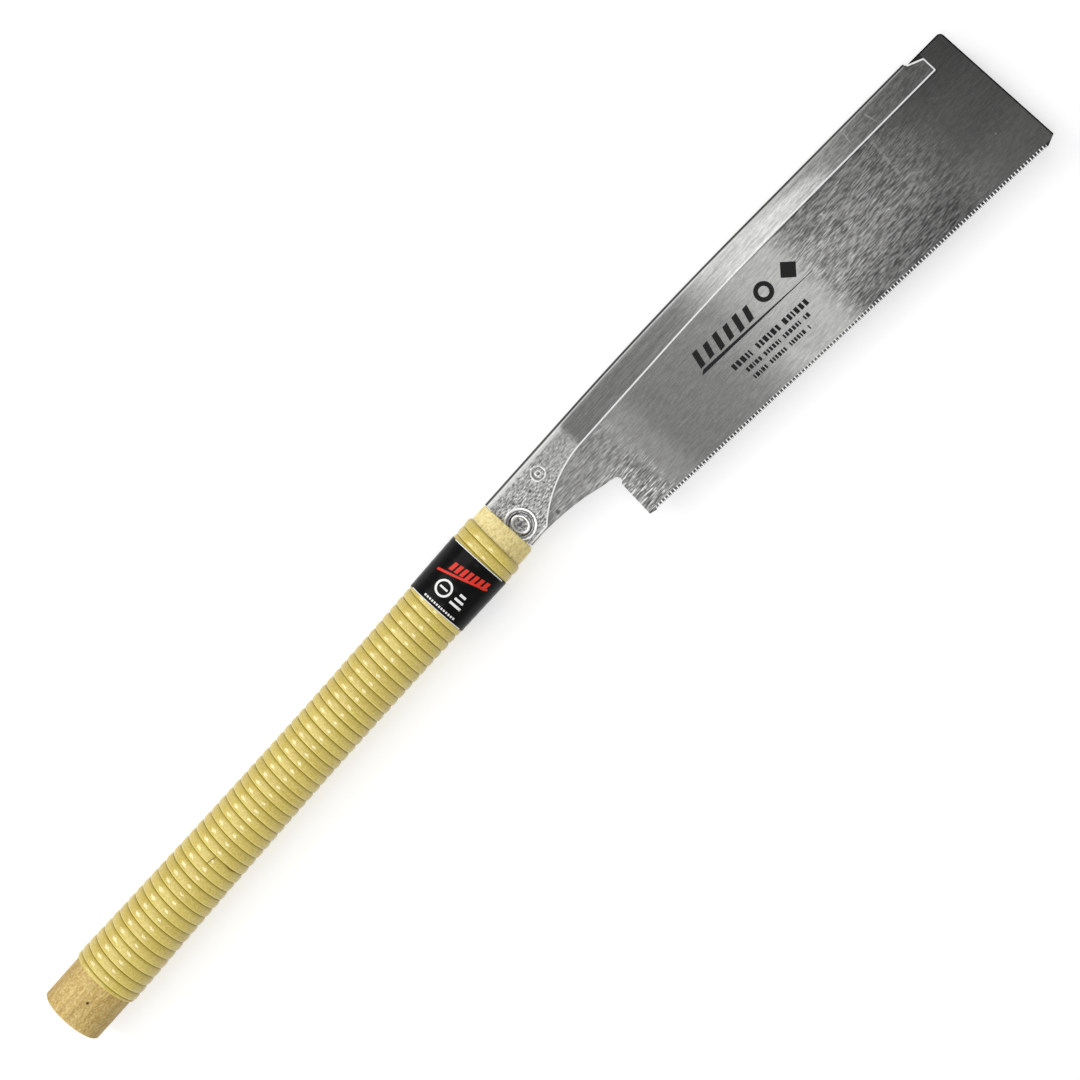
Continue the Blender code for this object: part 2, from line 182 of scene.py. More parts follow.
def bent_line(x, y_start, bend_x, radius, slope):
    """Height of a line that is level, bends down on an arc and then falls at a slope."""
    run = slope * radius
    along = x - bend_x
    if along <= 0:
        return y_start
    if along <= run:
        return y_start - along * along / (2 * radius)
    return y_start - run * run / (2 * radius) - slope * (along - run)


def smooth(value, low, high):
    part = min(max((value - low) / (high - low), 0.0), 1.0)
    return part * part * (3 - 2 * part)


def back_y(x):
    """The spine's back edge."""
    return bent_line(x, BACK_Y, BACK_BEND_X, BACK_BEND_RADIUS, SLOPE)


def add_object(name, data):
    thing = bpy.data.objects.new(name, data)
    bpy.context.scene.collection.objects.link(thing)
    return thing


def mesh_from(bm, name, material=None):
    """The mesh that bm holds; bm is freed."""
    mesh = bpy.data.meshes.new(name)
    bm.to_mesh(mesh)
    bm.free()
    if material:
        mesh.materials.append(material)
    return mesh


def shade(mesh, sharp):
    """Smooth shading, but for the edges sharper than an angle in degrees."""
    mesh.shade_smooth()
    mesh.set_sharp_from_angle(angle=math.radians(sharp))


def finish_piece(bm, name, body, slot_name, material, *nodes, sharp=35):
    """The mesh as a smooth-shaded piece that rides on a body and stands for its CAD nodes."""
    bmesh.ops.recalc_face_normals(bm, faces=bm.faces)
    mesh = mesh_from(bm, name, material)
    shade(mesh, sharp)
    piece = add_object(name, mesh)
    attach(piece, body)
    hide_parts(*nodes)
    return piece


def skin(bm, rings, closed_ring=True, closed_row=False):
    """Quads between rings of points; returns the rings of vertices."""
    loops = [[bm.verts.new(point) for point in ring] for ring in rings]
    pairs = list(zip(loops, loops[1:]))
    if closed_row:
        pairs.append((loops[-1], loops[0]))
    for first, second in pairs:
        last = len(first) if closed_ring else len(first) - 1
        for i in range(last):
            j = (i + 1) % len(first)
            bm.faces.new((first[i], first[j], second[j], second[i]))
    return loops


def capped_skin(bm, rings):
    """The skin of closed rings, with a face over the first ring and over the last."""
    loops = skin(bm, rings)
    bm.faces.new(loops[0])
    bm.faces.new(loops[-1])
    return loops


def cut_cube(piece, place):
    """Takes a unit cube, placed and stretched by a matrix, out of a piece."""
    bm = bmesh.new()
    bmesh.ops.create_cube(bm, size=1.0, matrix=place)
    cut_with(piece, bm)


def cut(piece, low, high):
    """Takes a box out of a piece."""
    size = Vector(high) - Vector(low)
    centre = (Vector(high) + Vector(low)) / 2
    cut_cube(piece, Matrix.Translation(centre) @ Matrix.Diagonal((*size, 1.0)))


def cut_with(piece, bm):
    """Takes the shape that bm holds out of a piece."""
    tool = add_object("cutter", mesh_from(bm, "cutter"))
    modifier = piece.modifiers.new("cut", "BOOLEAN")
    modifier.operation = "DIFFERENCE"
    modifier.solver = "EXACT"
    modifier.object = tool
    bake_modifiers(piece)
    bpy.data.objects.remove(tool)


def bake_modifiers(piece):
    """The piece's modifiers become its mesh."""
    depsgraph = bpy.context.evaluated_depsgraph_get()
    mesh = bpy.data.meshes.new_from_object(piece.evaluated_get(depsgraph))
    piece.modifiers.clear()
    piece.data = mesh


def add_plan_map(mesh):
    """A map of the piece in plan: across the saw first, then along it."""
    layer = mesh.uv_layers.new(name="plan")
    for corner in mesh.loops:
        place = mesh.vertices[corner.vertex_index].co
        layer.data[corner.index].uv = (place.y * 10, place.x * 10)


# ---- material helpers
class Value:
    """A node's output in a shader; arithmetic with it adds math nodes."""

    def __init__(self, shader, socket):
        self.shader, self.socket = shader, socket

    def span(self, low, high, to_low=0.0, to_high=1.0):
        """The range from low to high mapped smoothly to another."""
        node = self.shader.add("MapRange", enumerate((self, low, high, to_low, to_high)),
                               interpolation_type="SMOOTHSTEP")
        return self.shader.outputs(node)

    def span_mm(self, low, high, *to):
        """The same, for a length and limits in millimetres."""
        return self.span(low * MM, high * MM, *to)

    def __add__(self, other):
        return self.shader.math("ADD", self, other)

    def __sub__(self, other):
        return self.shader.math("SUBTRACT", self, other)

    def __rsub__(self, other):
        return self.shader.math("SUBTRACT", other, self)

    def __mul__(self, other):
        return self.shader.math("MULTIPLY", self, other)

    def __truediv__(self, other):
        return self.shader.math("DIVIDE", self, other)

    def __abs__(self):
        return self.shader.math("ABSOLUTE", self)


class Shader:
    """A node material with short calls for the nodes it is made of."""

    def __init__(self, name, **sockets):
        self.material = bpy.data.materials.new(name)
        self.material.use_nodes = True
        self.nodes = self.material.node_tree.nodes
        self.links = self.material.node_tree.links
        self.surface = self.nodes["Principled BSDF"]
        for socket, value in sockets.items():
            self.surface.inputs[socket.replace("_", " ")].default_value = value

    def feed(self, socket, value):
        if isinstance(value, Value):
            self.links.new(value.socket, socket)
        else:
            socket.default_value = value

    def outputs(self, node, count=1):
        """The node's first outputs as values: one alone, or a list."""
        values = [Value(self, socket) for socket in node.outputs[:count]]
        return values[0] if count == 1 else values

    def add(self, kind, values=(), **settings):
        """A new node with its settings, and values fed to its inputs by name or number."""
        node = self.nodes.new("ShaderNode" + kind)
        for name, setting in settings.items():
            setattr(node, name, setting)
        for socket, value in values:
            self.feed(node.inputs[socket], value)
        return node

    def math(self, operation, first, second=0.0, clamp=False):
        values = enumerate((first, second))
        return self.outputs(self.add("Math", values, operation=operation, use_clamp=clamp))

    def parts(self, socket, count):
        """The first parts of a vector, as values."""
        return self.outputs(self.add("SeparateXYZ", [(0, Value(self, socket))]), count)

    def object_xyz(self):
        """The place on the object in the row frame, as three values."""
        return self.parts(self.add("TexCoord").outputs["Object"], 3)

    def uv(self, name):
        return self.parts(self.add("UVMap", uv_map=name).outputs[0], 2)

    def vector(self, *values):
        return self.outputs(self.add("CombineXYZ", enumerate(values)))

    def scaled_place(self, along, across=None):
        """The place on the object for a noise, in cells per metre along the saw and across."""
        x, y, z = self.object_xyz()
        across = across or along
        return self.vector(x * along, y * across, z * across)

    def noise(self, vector, detail=3.0, roughness=0.5, distortion=0.0):
        return self.outputs(self.add("TexNoise", (
            ("Scale", 1.0), ("Detail", detail), ("Roughness", roughness),
            ("Distortion", distortion), ("Vector", vector))))

    def ramp(self, value, *stops):
        """A colour for each value, from (place, (red, green, blue)) stops."""
        node = self.add("ValToRGB", [(0, value)])
        elements = node.color_ramp.elements
        while len(elements) < len(stops):
            elements.new(0.5)
        for element, (place, colour) in zip(elements, stops):
            element.position = place
            element.color = (*colour, 1.0)
        return self.outputs(node)

    def mix(self, factor, *colours, blend="MIX"):
        """Two colours mixed, as values or as (red, green, blue)."""
        first, second = [c if isinstance(c, Value) else (*c, 1.0) for c in colours]
        node = self.add("Mix", data_type="RGBA", blend_type=blend)
        for socket, value in ((0, factor), (6, first), (7, second)):
            self.feed(node.inputs[socket], value)
        return Value(self, node.outputs[2])

    def tinted(self, colour, *tints):
        """A colour under tints, each as strong as a value's span: (value, *span, tint)."""
        for value, *limits, tint in tints:
            colour = self.mix(value.span(*limits), colour, tint)
        return colour

    def times(self, colour, value):
        """A colour times a value."""
        return self.mix(1.0, colour, self.vector(value, value, value), blend="MULTIPLY")

    def bump(self, height, distance, strength):
        return self.outputs(self.add("Bump", (
            ("Strength", strength), ("Distance", distance), ("Height", height))))

    def set(self, socket, value):
        self.feed(self.surface.inputs[socket], value)

    def brush_direction(self, uv_map):
        """Gloss spreads across the brushing, along the map's first axis."""
        node = self.add("Tangent", direction_type="UV_MAP", uv_map=uv_map)
        self.links.new(node.outputs[0], self.surface.inputs["Tangent"])


# ---- materials
def cane_material():
    """Glossy split cane: fibres along the strip, slow changes of tone, painted shade in the
    grooves, on each strip's front slope and towards both sides, and a painted highlight on each
    strip's rear slope.
    """
    shader = Shader("split_cane", Specular_IOR_Level=0.25, Coat_Weight=0.6, Coat_Roughness=0.1,
                    Coat_IOR=1.6)
    along, across = shader.uv("strip")
    _, y, _ = shader.object_xyz()
    fibres = shader.noise(shader.vector(along * 45.0, across * 16.0, 0.0), 4.0, 0.6)
    tone = shader.noise(shader.vector(along * 14.0, across * 1.2, 7.0), detail=2.0)
    skin_colour = shader.ramp(
        fibres * 0.55 + tone * 0.45, (0.30, (0.50, 0.375, 0.062)), (0.46, (0.63, 0.50, 0.105)),
        (0.6, (0.72, 0.595, 0.145)), (0.8, (0.78, 0.68, 0.22)))
    speckles = shader.noise(shader.scaled_place(650.0), detail=3.0, roughness=0.7)
    fine = shader.noise(shader.scaled_place(1500.0), detail=2.0)
    # The colour of painted shade, laid on the strips towards both sides of the handle.
    shade = (0.36, 0.25, 0.03)
    shader.set("Base Color", shader.tinted(
        skin_colour,
        (speckles, 0.46, 0.62, 0.0, 0.5, (0.72, 0.54, 0.19)),
        (speckles, 0.36, 0.46, 0.35, 0.0, (0.60, 0.50, 0.06)),
        (fine, 0.38, 0.5, 0.35, 0.0, (0.48, 0.36, 0.06)),
        (fine, 0.5, 0.62, 0.0, 0.3, (0.86, 0.74, 0.28)),
        # Painted shade on each strip's front slope, a painted highlight on its rear slope, and
        # painted shade along both edges where they meet in the grooves.
        (across, 0.02, 0.30, 0.55, 0.0, (0.46, 0.345, 0.035)),
        (across, 0.80, 0.95, 0.0, 0.6, (0.80, 0.70, 0.20)),
        (abs(across - 0.5), 0.455, 0.5, (0.30, 0.195, 0.01)),
        # Painted shade: the strips darken towards the -Y side and the +Y side of the handle.
        (y, -16.5 * MM, -9.5 * MM, 0.45, 0.0, shade),
        (y, 5 * MM, 13 * MM, 0.0, 0.36, shade)))
    shader.set("Roughness", fibres * 0.25 + 0.28)
    shader.set("Normal", shader.bump(fibres, 0.05 * MM, 0.6))
    return shader.material


def wood_material():
    """Bare straight-grained softwood, with end grain on the butt and a small pin knot."""
    shader = Shader("bare_wood", Roughness=0.62)
    x, y, z = shader.object_xyz()
    grain = shader.noise(shader.scaled_place(75.0, 420.0), 6.0, 0.75, distortion=0.4)
    pores = shader.noise(shader.scaled_place(420.0, 950.0), detail=3.0, roughness=0.6)
    fine = shader.noise(shader.scaled_place(800.0, 1300.0), detail=2.0)
    butt_wood = shader.ramp(
        grain, (0.34, (0.385, 0.235, 0.053)), (0.46, (0.51, 0.342, 0.093)),
        (0.56, (0.59, 0.42, 0.13)), (0.68, (0.71, 0.54, 0.20)))
    head_wood = shader.ramp(
        grain, (0.34, (0.66, 0.52, 0.20)), (0.46, (0.76, 0.63, 0.26)),
        (0.56, (0.81, 0.69, 0.305)), (0.68, (0.88, 0.79, 0.40)))
    colour = shader.tinted(
        shader.mix(x.span_mm(100, 250), butt_wood, head_wood),
        (pores, 0.58, 0.70, 0.0, 0.5, (0.28, 0.18, 0.06)),
        (pores, 0.30, 0.42, 0.5, 0.0, (0.84, 0.70, 0.36)),
        (fine, 0.38, 0.5, 0.28, 0.0, (0.36, 0.23, 0.06)),
        (fine, 0.5, 0.62, 0.0, 0.25, (0.94, 0.80, 0.42)))
    # Painted shade: near the butt the wood darkens towards both sides.
    painted_side_shade = abs(y).span_mm(7, 14, 0.0, 0.34)
    painted_side_shade = painted_side_shade * x.span_mm(22, 60, 1.0, 0.0)
    colour = shader.mix(painted_side_shade, colour, (0.25, 0.15, 0.04))
    knot = Vector((12.9, -1.6, 11.5)) * MM
    squares = [(part - middle) * (part - middle) for part, middle in zip((x, y, z), knot)]
    distance = shader.math("SQRT", squares[0] + squares[1] + squares[2])
    knot_colour = (0.02, 0.012, 0.006)
    shader.set("Base Color", shader.tinted(
        colour, (distance, 0.35 * MM, 0.95 * MM, 1.0, 0.0, knot_colour)))
    shader.set("Normal", shader.bump(grain * 0.4 - pores * 0.6, 0.2 * MM, 0.8))
    return shader.material


def film_material():
    """Glossy black film with the faint ripple of the turns beneath it."""
    shader = Shader("black_film", Roughness=0.2, Specular_IOR_Level=0.13)
    shader.set("Base Color", (0.003, 0.003, 0.003, 1.0))
    ripple = shader.noise(shader.scaled_place(350.0, 90.0), detail=2.0)
    shader.set("Normal", shader.bump(ripple, 0.06 * MM, 0.5))
    return shader.material


def ink_material(name, colour, roughness):
    """Print, a little darker where it is worn."""
    shader = Shader(name, Roughness=roughness, Specular_IOR_Level=0.25)
    wear = shader.noise(shader.scaled_place(900.0), detail=3.0)
    worn = [0.6 * part for part in colour]
    shader.set("Base Color", shader.tinted(colour, (wear, 0.62, 0.8, worn)))
    return shader.material


def distance_in_plan(shader, centre, stretch=(1.0, 1.0)):
    """Distance from a centre in plan, with each axis divided by its stretch."""
    x, y, _ = shader.object_xyz()
    run = (x - centre[0]) / stretch[0]
    rise = (y - centre[1]) / stretch[1]
    return shader.math("SQRT", run * run + rise * rise)


def near(value, target, width):
    """One where a value is at its target, fading to zero at a width from it."""
    return abs(value - target).span(0.4 * width, width, 1.0, 0.0)


def dashes_noise(shader, along, across, shift=0.0):
    """Short fine marks along the saw; scales are marks per metre."""
    x, y, z = shader.object_xyz()
    place = shader.vector(x * along, y * across, z * 300.0 + shift)
    return shader.noise(place, detail=3.0, roughness=0.6)


def row_marks(shader, along, row_height, shift):
    """Fine straight marks along the saw, different in each thin row, from -1 to 1."""
    x, y, _ = shader.object_xyz()
    row = shader.math("FLOOR", y / row_height)
    place = shader.vector(x * along, row * 7.3, shift)
    return shader.noise(place, detail=2.0).span(0.34, 0.66, -1.0, 1.0)


def scratch(shader, start, end, width):
    """A thin straight scratch across the blade, fading at both ends."""
    x, y, _ = shader.object_xyz()
    (x_start, y_start), (x_end, y_end) = start, end
    lean = (x_end - x_start) / (y_end - y_start)
    middle = (y - y_start * MM) * lean + x_start * MM
    off = abs(x - middle)
    fade = (y_start - y_end) * 0.3 * MM
    ends = y.span(y_end * MM, y_end * MM + 2 * fade)
    ends = ends * y.span(y_start * MM - fade * 0.3, y_start * MM, 1.0, 0.0)
    return off.span(width * MM * 0.3, width * MM, 1.0, 0.0) * ends


def spine_steel():
    """Folded stainless sheet: pressed and pitted at the neck, brushed along the spine, with painted
    reflections along the spine and back edge, painted highlights on the cut edges, the bead and the
    stamp, and painted shade round the rivet.
    """
    shader = Shader("folded_stainless", Metallic=1.0, Anisotropic=0.7)
    x, y, _ = shader.object_xyz()
    streaks = dashes_noise(shader, 40.0, 1300.0)
    dashes = dashes_noise(shader, 620.0, 1700.0, 5.0)
    grit = row_marks(shader, 240.0, 0.46 * MM, 21.0)
    neck = x.span_mm(336.5, 341.5, 1.0, 0.0)
    calm = x.span_mm(317, 327) * 0.45
    # Painted reflection: a slanted band along the spine is lightened, and darkened a little past
    # its slanted end.
    painted_sheen_span = x.span_mm(409, 430) * x.span_mm(496, 506, 1.0, 0.0)
    slanted = x + (y - 3.5 * MM) * 6.2
    past = slanted.span_mm(474, 524)
    band = painted_sheen_span * past.span(0.0, 1.0, 0.40, -0.2)
    smooth_colour = shader.ramp(
        streaks, (0.3, (0.30, 0.30, 0.292)), (0.5, (0.37, 0.37, 0.362)), (0.7, (0.45, 0.45, 0.44)))
    smooth_colour = shader.times(smooth_colour, band + 1.0)
    neck_colour = shader.ramp(
        dashes, (0.36, (0.10, 0.10, 0.097)), (0.45, (0.37, 0.37, 0.36)), (0.54, (0.55, 0.55, 0.54)),
        (0.66, (0.92, 0.92, 0.90)))
    neck_colour = shader.mix(calm, neck_colour, (0.50, 0.50, 0.49))
    colour = shader.mix(neck, smooth_colour, neck_colour)
    streaky = x.span_mm(470, 515) * 0.14
    colour = shader.times(colour, grit * (streaky + 0.12) + 1.0)
    from_pivot = distance_in_plan(shader, PIVOT)
    # Painted highlight colour, used on the outer bead round the rivet and along the cut edges.
    painted_highlight_white = (0.97, 0.97, 0.96)
    # Painted highlight on the outer bead, painted shade at the pan's edge and in the trough between
    # the two beads.
    for radius, width, tone in (
            (RING_RADIUS, 0.55, painted_highlight_white), (PAN_RADIUS, 0.45, (0.06, 0.06, 0.06)),
            (6.1 * MM, 0.35, (0.16, 0.16, 0.155))):
        colour = shader.mix(near(from_pivot, radius, width * MM), colour, tone)
    from_stamp = distance_in_plan(shader, STAMP)
    outer, inner = STAMP_RADII
    # Painted highlight on the stamp's two raised rings and painted shade just inside the outer one.
    for radius, tone in ((outer, 0.95), (outer - 0.8 * MM, 0.12), (inner, 0.95)):
        line = near(from_stamp, radius, 0.45 * MM) * 0.5
        colour = shader.mix(line, colour, (tone, tone, tone))
    for start, end, width in (
            ((532.0, 5.0), (533.6, -3.4), 0.55), ((519.6, 6.5), (518.2, -2.5), 0.4)):
        line = scratch(shader, start, end, width) * 0.6
        colour = shader.mix(line, colour, (0.75, 0.75, 0.74))
    rim, drop = shader.uv("rim")
    # Painted reflection below the back edge: a light band, fuller over the neck, and a dark band on
    # the rounded edge itself.
    colour = shader.tinted(colour, (drop, 1.3, 3.2, 0.35, 0.0, (0.72, 0.72, 0.71)))
    painted_sheen_top = drop.span(2.7, 3.4, 0.75, 0.0) * neck
    colour = shader.mix(painted_sheen_top, colour, (0.86, 0.86, 0.85))
    colour = shader.tinted(colour, (drop, 0.9, 1.4, 0.9, 0.0, (0.035, 0.035, 0.035)))
    # Painted highlight: near the cut edges the steel turns near-white and barely metallic.
    bright = rim.span(0.62, 0.95, 1.0, 0.0)
    shader.set("Base Color", shader.mix(bright, colour, painted_highlight_white))
    shader.set("Metallic", bright.span(0.0, 1.0, 1.0, 0.05))
    shader.set("Roughness", neck * 0.2 + 0.19)
    texture = dashes * neck + streaks * 0.12
    shader.set("Normal", shader.bump(texture, 0.09 * MM, 0.7))
    shader.brush_direction("plan")
    return shader.material


def below_line(shader, x_start, y_start, slope):
    """How far a place lies under a sloping line, in metres."""
    x, y, _ = shader.object_xyz()
    line = (x - x_start) * slope + y_start
    return line - y


def blade_steel():
    """Thin rolled steel: scratched at the heel and before the toe, with hardened dark teeth,
    painted shade under the S-curve, over a slanted band and towards the toe, a painted shadow under
    the lip, and painted dark reflections on the top and tip edges.
    """
    shader = Shader("blade_steel_brushed", Metallic=1.0, Anisotropic=0.8)
    x, y, _ = shader.object_xyz()
    streaks = dashes_noise(shader, 55.0, 1100.0)
    dashes = dashes_noise(shader, 190.0, 1500.0, 9.0)
    mottle = dashes_noise(shader, 400.0, 400.0, 3.0)
    grit = row_marks(shader, 200.0, 0.46 * MM, 31.0)
    heel = x.span_mm(346, 358, 1.0, 0.0)
    beyond = x.span_mm(457, 472)
    to_toe = x.span_mm(520, 555)
    before_toe = shader.math("SUBTRACT", beyond, to_toe, clamp=True)
    scratched = shader.math("ADD", heel, before_toe * 0.55, clamp=True)
    lower_heel = heel * y.span_mm(-26, -14, 1.0, 0.28)
    marked = shader.math("ADD", lower_heel, before_toe * 0.30, clamp=True)
    marks = dashes.span(0.47, 0.64) * (marked + 0.03)
    tone = (streaks - 0.5) * 0.34 + (mottle - 0.5) * 0.25
    value = (tone + 1.0) * 0.41 + marks * 0.62 - lower_heel * 0.13
    after_heel = x.span_mm(348, 356) * x.span_mm(357, 376, 1.0, 0.0)
    # Painted shade: the heel is darkened under the S-curve.
    upper_heel = heel * y.span_mm(-20, -9)
    for mask, factor in ((after_heel, 1.36), (upper_heel, 0.88)):
        value = value * mask.span(0.0, 1.0, 1.0, factor)
    amount = before_toe * 0.44 + heel * 0.12 + lower_heel * 0.35
    value = value * (grit * (amount + 0.11) + 1.0)
    # Painted shade: a slanted band from about 430 mm up to the scratched zone is darkened.
    slanted = x + (y + 38 * MM) * 0.5
    band = slanted.span_mm(426, 440) * (1.0 - beyond)
    value = value * band.span(0.0, 1.0, 1.0, 0.80)
    # Painted shade from about 465 mm on: darker towards the spine, darker towards the teeth before
    # the toe but brightened there at the toe, and darker overall, most before the toe.
    upper = y.span_mm(-22, -4, 1.0, 0.78)
    lower = y.span_mm(-34, -52) * to_toe.span(0.0, 1.0, -0.33, 0.3)
    shade = upper * (lower + 1.0)
    shade = shade * to_toe.span(0.0, 1.0, 0.63, 0.82)
    shade = (shade - 1.0) * beyond + 1.0
    value = value * shade
    dust = shader.noise(shader.scaled_place(330.0), detail=1.0).span(0.755, 0.80)
    dust = dust * x.span_mm(450, 540)
    value = value + dust * 0.5
    teeth = below_line(shader, TOE.x, TOE.y, -TOOTH_LINE_SLOPE).span_mm(-1.9, -1.1)
    value = value * teeth.span(0.0, 1.0, 1.0, 0.30)
    # Painted dark reflection on the rounded top edge and on the tip edge.
    painted_dark_top_edge = below_line(shader, 455 * MM, back_y(455 * MM) - BLADE_BACK_DROP, -SLOPE)
    for distance in (painted_dark_top_edge, BLADE_TIP_X - x):
        value = value * distance.span_mm(0.45, 0.95, 0.12, 1.0)
    lip_height = bent_line(500 * MM, LIP_Y, LIP_BEND_X, LIP_BEND_RADIUS, SLOPE)
    under_lip = below_line(shader, 500 * MM, lip_height, -SLOPE)
    along_lip = x.span_mm(415, 450)
    along_lip = along_lip * x.span(SPINE_END_X, SPINE_END_X + 0.4 * MM, 1.0, 0.0)
    shadow = under_lip.span_mm(0.2, 0.9, 0.5, 0.0) * along_lip
    value = value * (1.0 - shadow)
    long_scratch = scratch(shader, (525.6, -4.0), (521.4, -40.0), 1.0)
    value = value + long_scratch * 0.10
    dimple = distance_in_plan(shader, (310.3 * MM, -11.7 * MM))
    value = value * dimple.span_mm(0.7, 1.3, 0.4, 1.0)
    shader.set("Base Color", shader.vector(value, value, value * 0.975))
    shader.set("Roughness", scratched * 0.22 + 0.17)
    height = marks * 0.6 + streaks * 0.12
    shader.set("Normal", shader.bump(height, 0.04 * MM, 0.7))
    shader.brush_direction("plan")
    return shader.material


def rivet_steel():
    """Hammered steel with a dull, pitted dish and a shiny rim that is partly painted highlight,
    with painted shadow round the head's outer edge.
    """
    shader = Shader("rivet_steel", Metallic=0.85)
    dents = dashes_noise(shader, 900.0, 900.0)
    dish = shader.ramp(
        dents, (0.35, (0.10, 0.10, 0.10)), (0.5, (0.30, 0.30, 0.30)), (0.65, (0.62, 0.62, 0.61)))
    # The rim's near-white tone is partly the steel's shine and partly painted highlight.
    rim = shader.ramp(dents, (0.3, (0.80, 0.80, 0.79)), (0.6, (0.97, 0.97, 0.96)))
    outward = distance_in_plan(shader, PIVOT, (RIVET_HALF.x, RIVET_HALF.y))
    colour = shader.mix(outward.span(0.62, 0.72), dish, rim)
    # Painted shadow round the head's outer edge.
    shader.set("Base Color", shader.tinted(colour, (outward, 0.95, 0.99, (0.12, 0.12, 0.12))))
    shader.set("Roughness", dents * 0.2 + 0.22)
    shader.set("Normal", shader.bump(dents, 0.08 * MM, 0.6))
    return shader.material


CANE = cane_material()
WOOD = wood_material()
FILM = film_material()
WHITE_INK = ink_material("white_ink", (0.86, 0.86, 0.84), 0.35)
RED_INK = ink_material("red_ink", (0.72, 0.035, 0.02), 0.35)
BLACK_INK = ink_material("black_ink", (0.008, 0.008, 0.009), 0.55)
SPINE_STEEL = spine_steel()
BLADE_STEEL = blade_steel()
RIVET_STEEL = rivet_steel()


# ---- handle
def half_width(x):
    """Half width of the wooden handle, in the blade's plane."""
    if x <= WAIST_X:
        end, part = BUTT_HALF_WIDTH, (WAIST_X - x) / (WAIST_X - BUTT_WOOD_X)
    else:
        end, part = HEAD_HALF_WIDTH, (x - WAIST_X) / (HEAD_WOOD_X - WAIST_X)
    return WAIST_HALF_WIDTH + (end - WAIST_HALF_WIDTH) * min(part, 1.0) ** WAIST_POWER


def oval_point(x, angle, lift):
    """A point at a height above the wood's surface; the angle runs from +Y over +Z."""
    width = half_width(x)
    up = (width * FLATNESS + lift) * math.sin(angle)
    return Vector((x, (width + lift) * math.cos(angle), up))


def oval_ring(x, lift, sides):
    return [oval_point(x, math.tau * i / sides, lift) for i in range(sides)]


def make_wood():
    """The oval handle with rounded ends, the tang's mortise, the blade's slit and pin holes."""
    profile = [(0.0, -END_ROUND)]
    profile += [(END_ROUND - END_ROUND * math.cos(a), -END_ROUND + END_ROUND * math.sin(a))
                for a in steps_between(0.2, math.pi / 2, 5)]
    profile += [(x, 0.0) for x in steps_between(3 * MM, HANDLE_LENGTH - 2 * MM, 72)]
    profile += [(HANDLE_LENGTH - NOSE_ROUND + NOSE_ROUND * math.sin(a),
                 NOSE_ROUND * math.cos(a) - NOSE_ROUND) for a in steps_between(0.0, math.pi / 2, 4)]
    bm = bmesh.new()
    capped_skin(bm, [oval_ring(x, lift, 96) for x, lift in profile])
    piece = finish_piece(bm, "handle_wood", "handle", "wood", WOOD, "handle_core")
    half = TANG_HALF_WIDTH + 0.3 * MM
    past_end = HANDLE_LENGTH + 10 * MM
    cut(piece, (TANG_REAR_X - 0.3 * MM, -half, -MORTISE_HALF), (past_end, half, MORTISE_HALF))
    cut(piece, (SLIT_X, -30 * MM, -SLIT_HALF), (past_end, 0.0, SLIT_HALF))
    corner = Vector((HANDLE_LENGTH - 0.8 * MM, 0.7 * MM - HEAD_HALF_WIDTH, 0.0))
    outward = Vector((1, -1, 0)).normalized()
    stretch = Matrix.Diagonal((20 * MM, 20 * MM, 60 * MM, 1.0))
    turned = Matrix.Rotation(math.radians(45), 4, "Z") @ stretch
    cut_cube(piece, Matrix.Translation(corner + outward * 10 * MM) @ turned)
    for node in TANG_PINS:
        low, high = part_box(node)
        bm = bmesh.new()
        bmesh.ops.create_cone(
            bm, cap_ends=True, segments=24, radius1=PIN_HOLE_RADIUS, radius2=PIN_HOLE_RADIUS,
            depth=40 * MM, matrix=Matrix.Translation(((low.x + high.x) / 2, 0.0, 0.0)))
        cut_with(piece, bm)
    shade(piece.data, 35)


def wrap_x(turn):
    """Where the strip's middle line lies after so many turns; its edges are half a turn off."""
    closer = WRAP_CLOSER * 3 * math.log(1 + math.exp((turn - 19) / 3))
    closer += WRAP_CLOSER_UNDER_LABEL * min(max(turn - 45, 0), 8)
    tail = WRAP_TAIL * math.exp(-1.45 * turn)
    return WRAP_START_X + WRAP_PITCH * turn - closer + tail


def groove_noise(turn, seed):
    """A smooth random value along the winding, from -1 to 1."""
    first = math.floor(turn)
    values = [random.Random(seed * 1000 + first + i).uniform(-1, 1) for i in (0, 1)]
    return values[0] + (values[1] - values[0]) * smooth(turn - first, 0, 1)


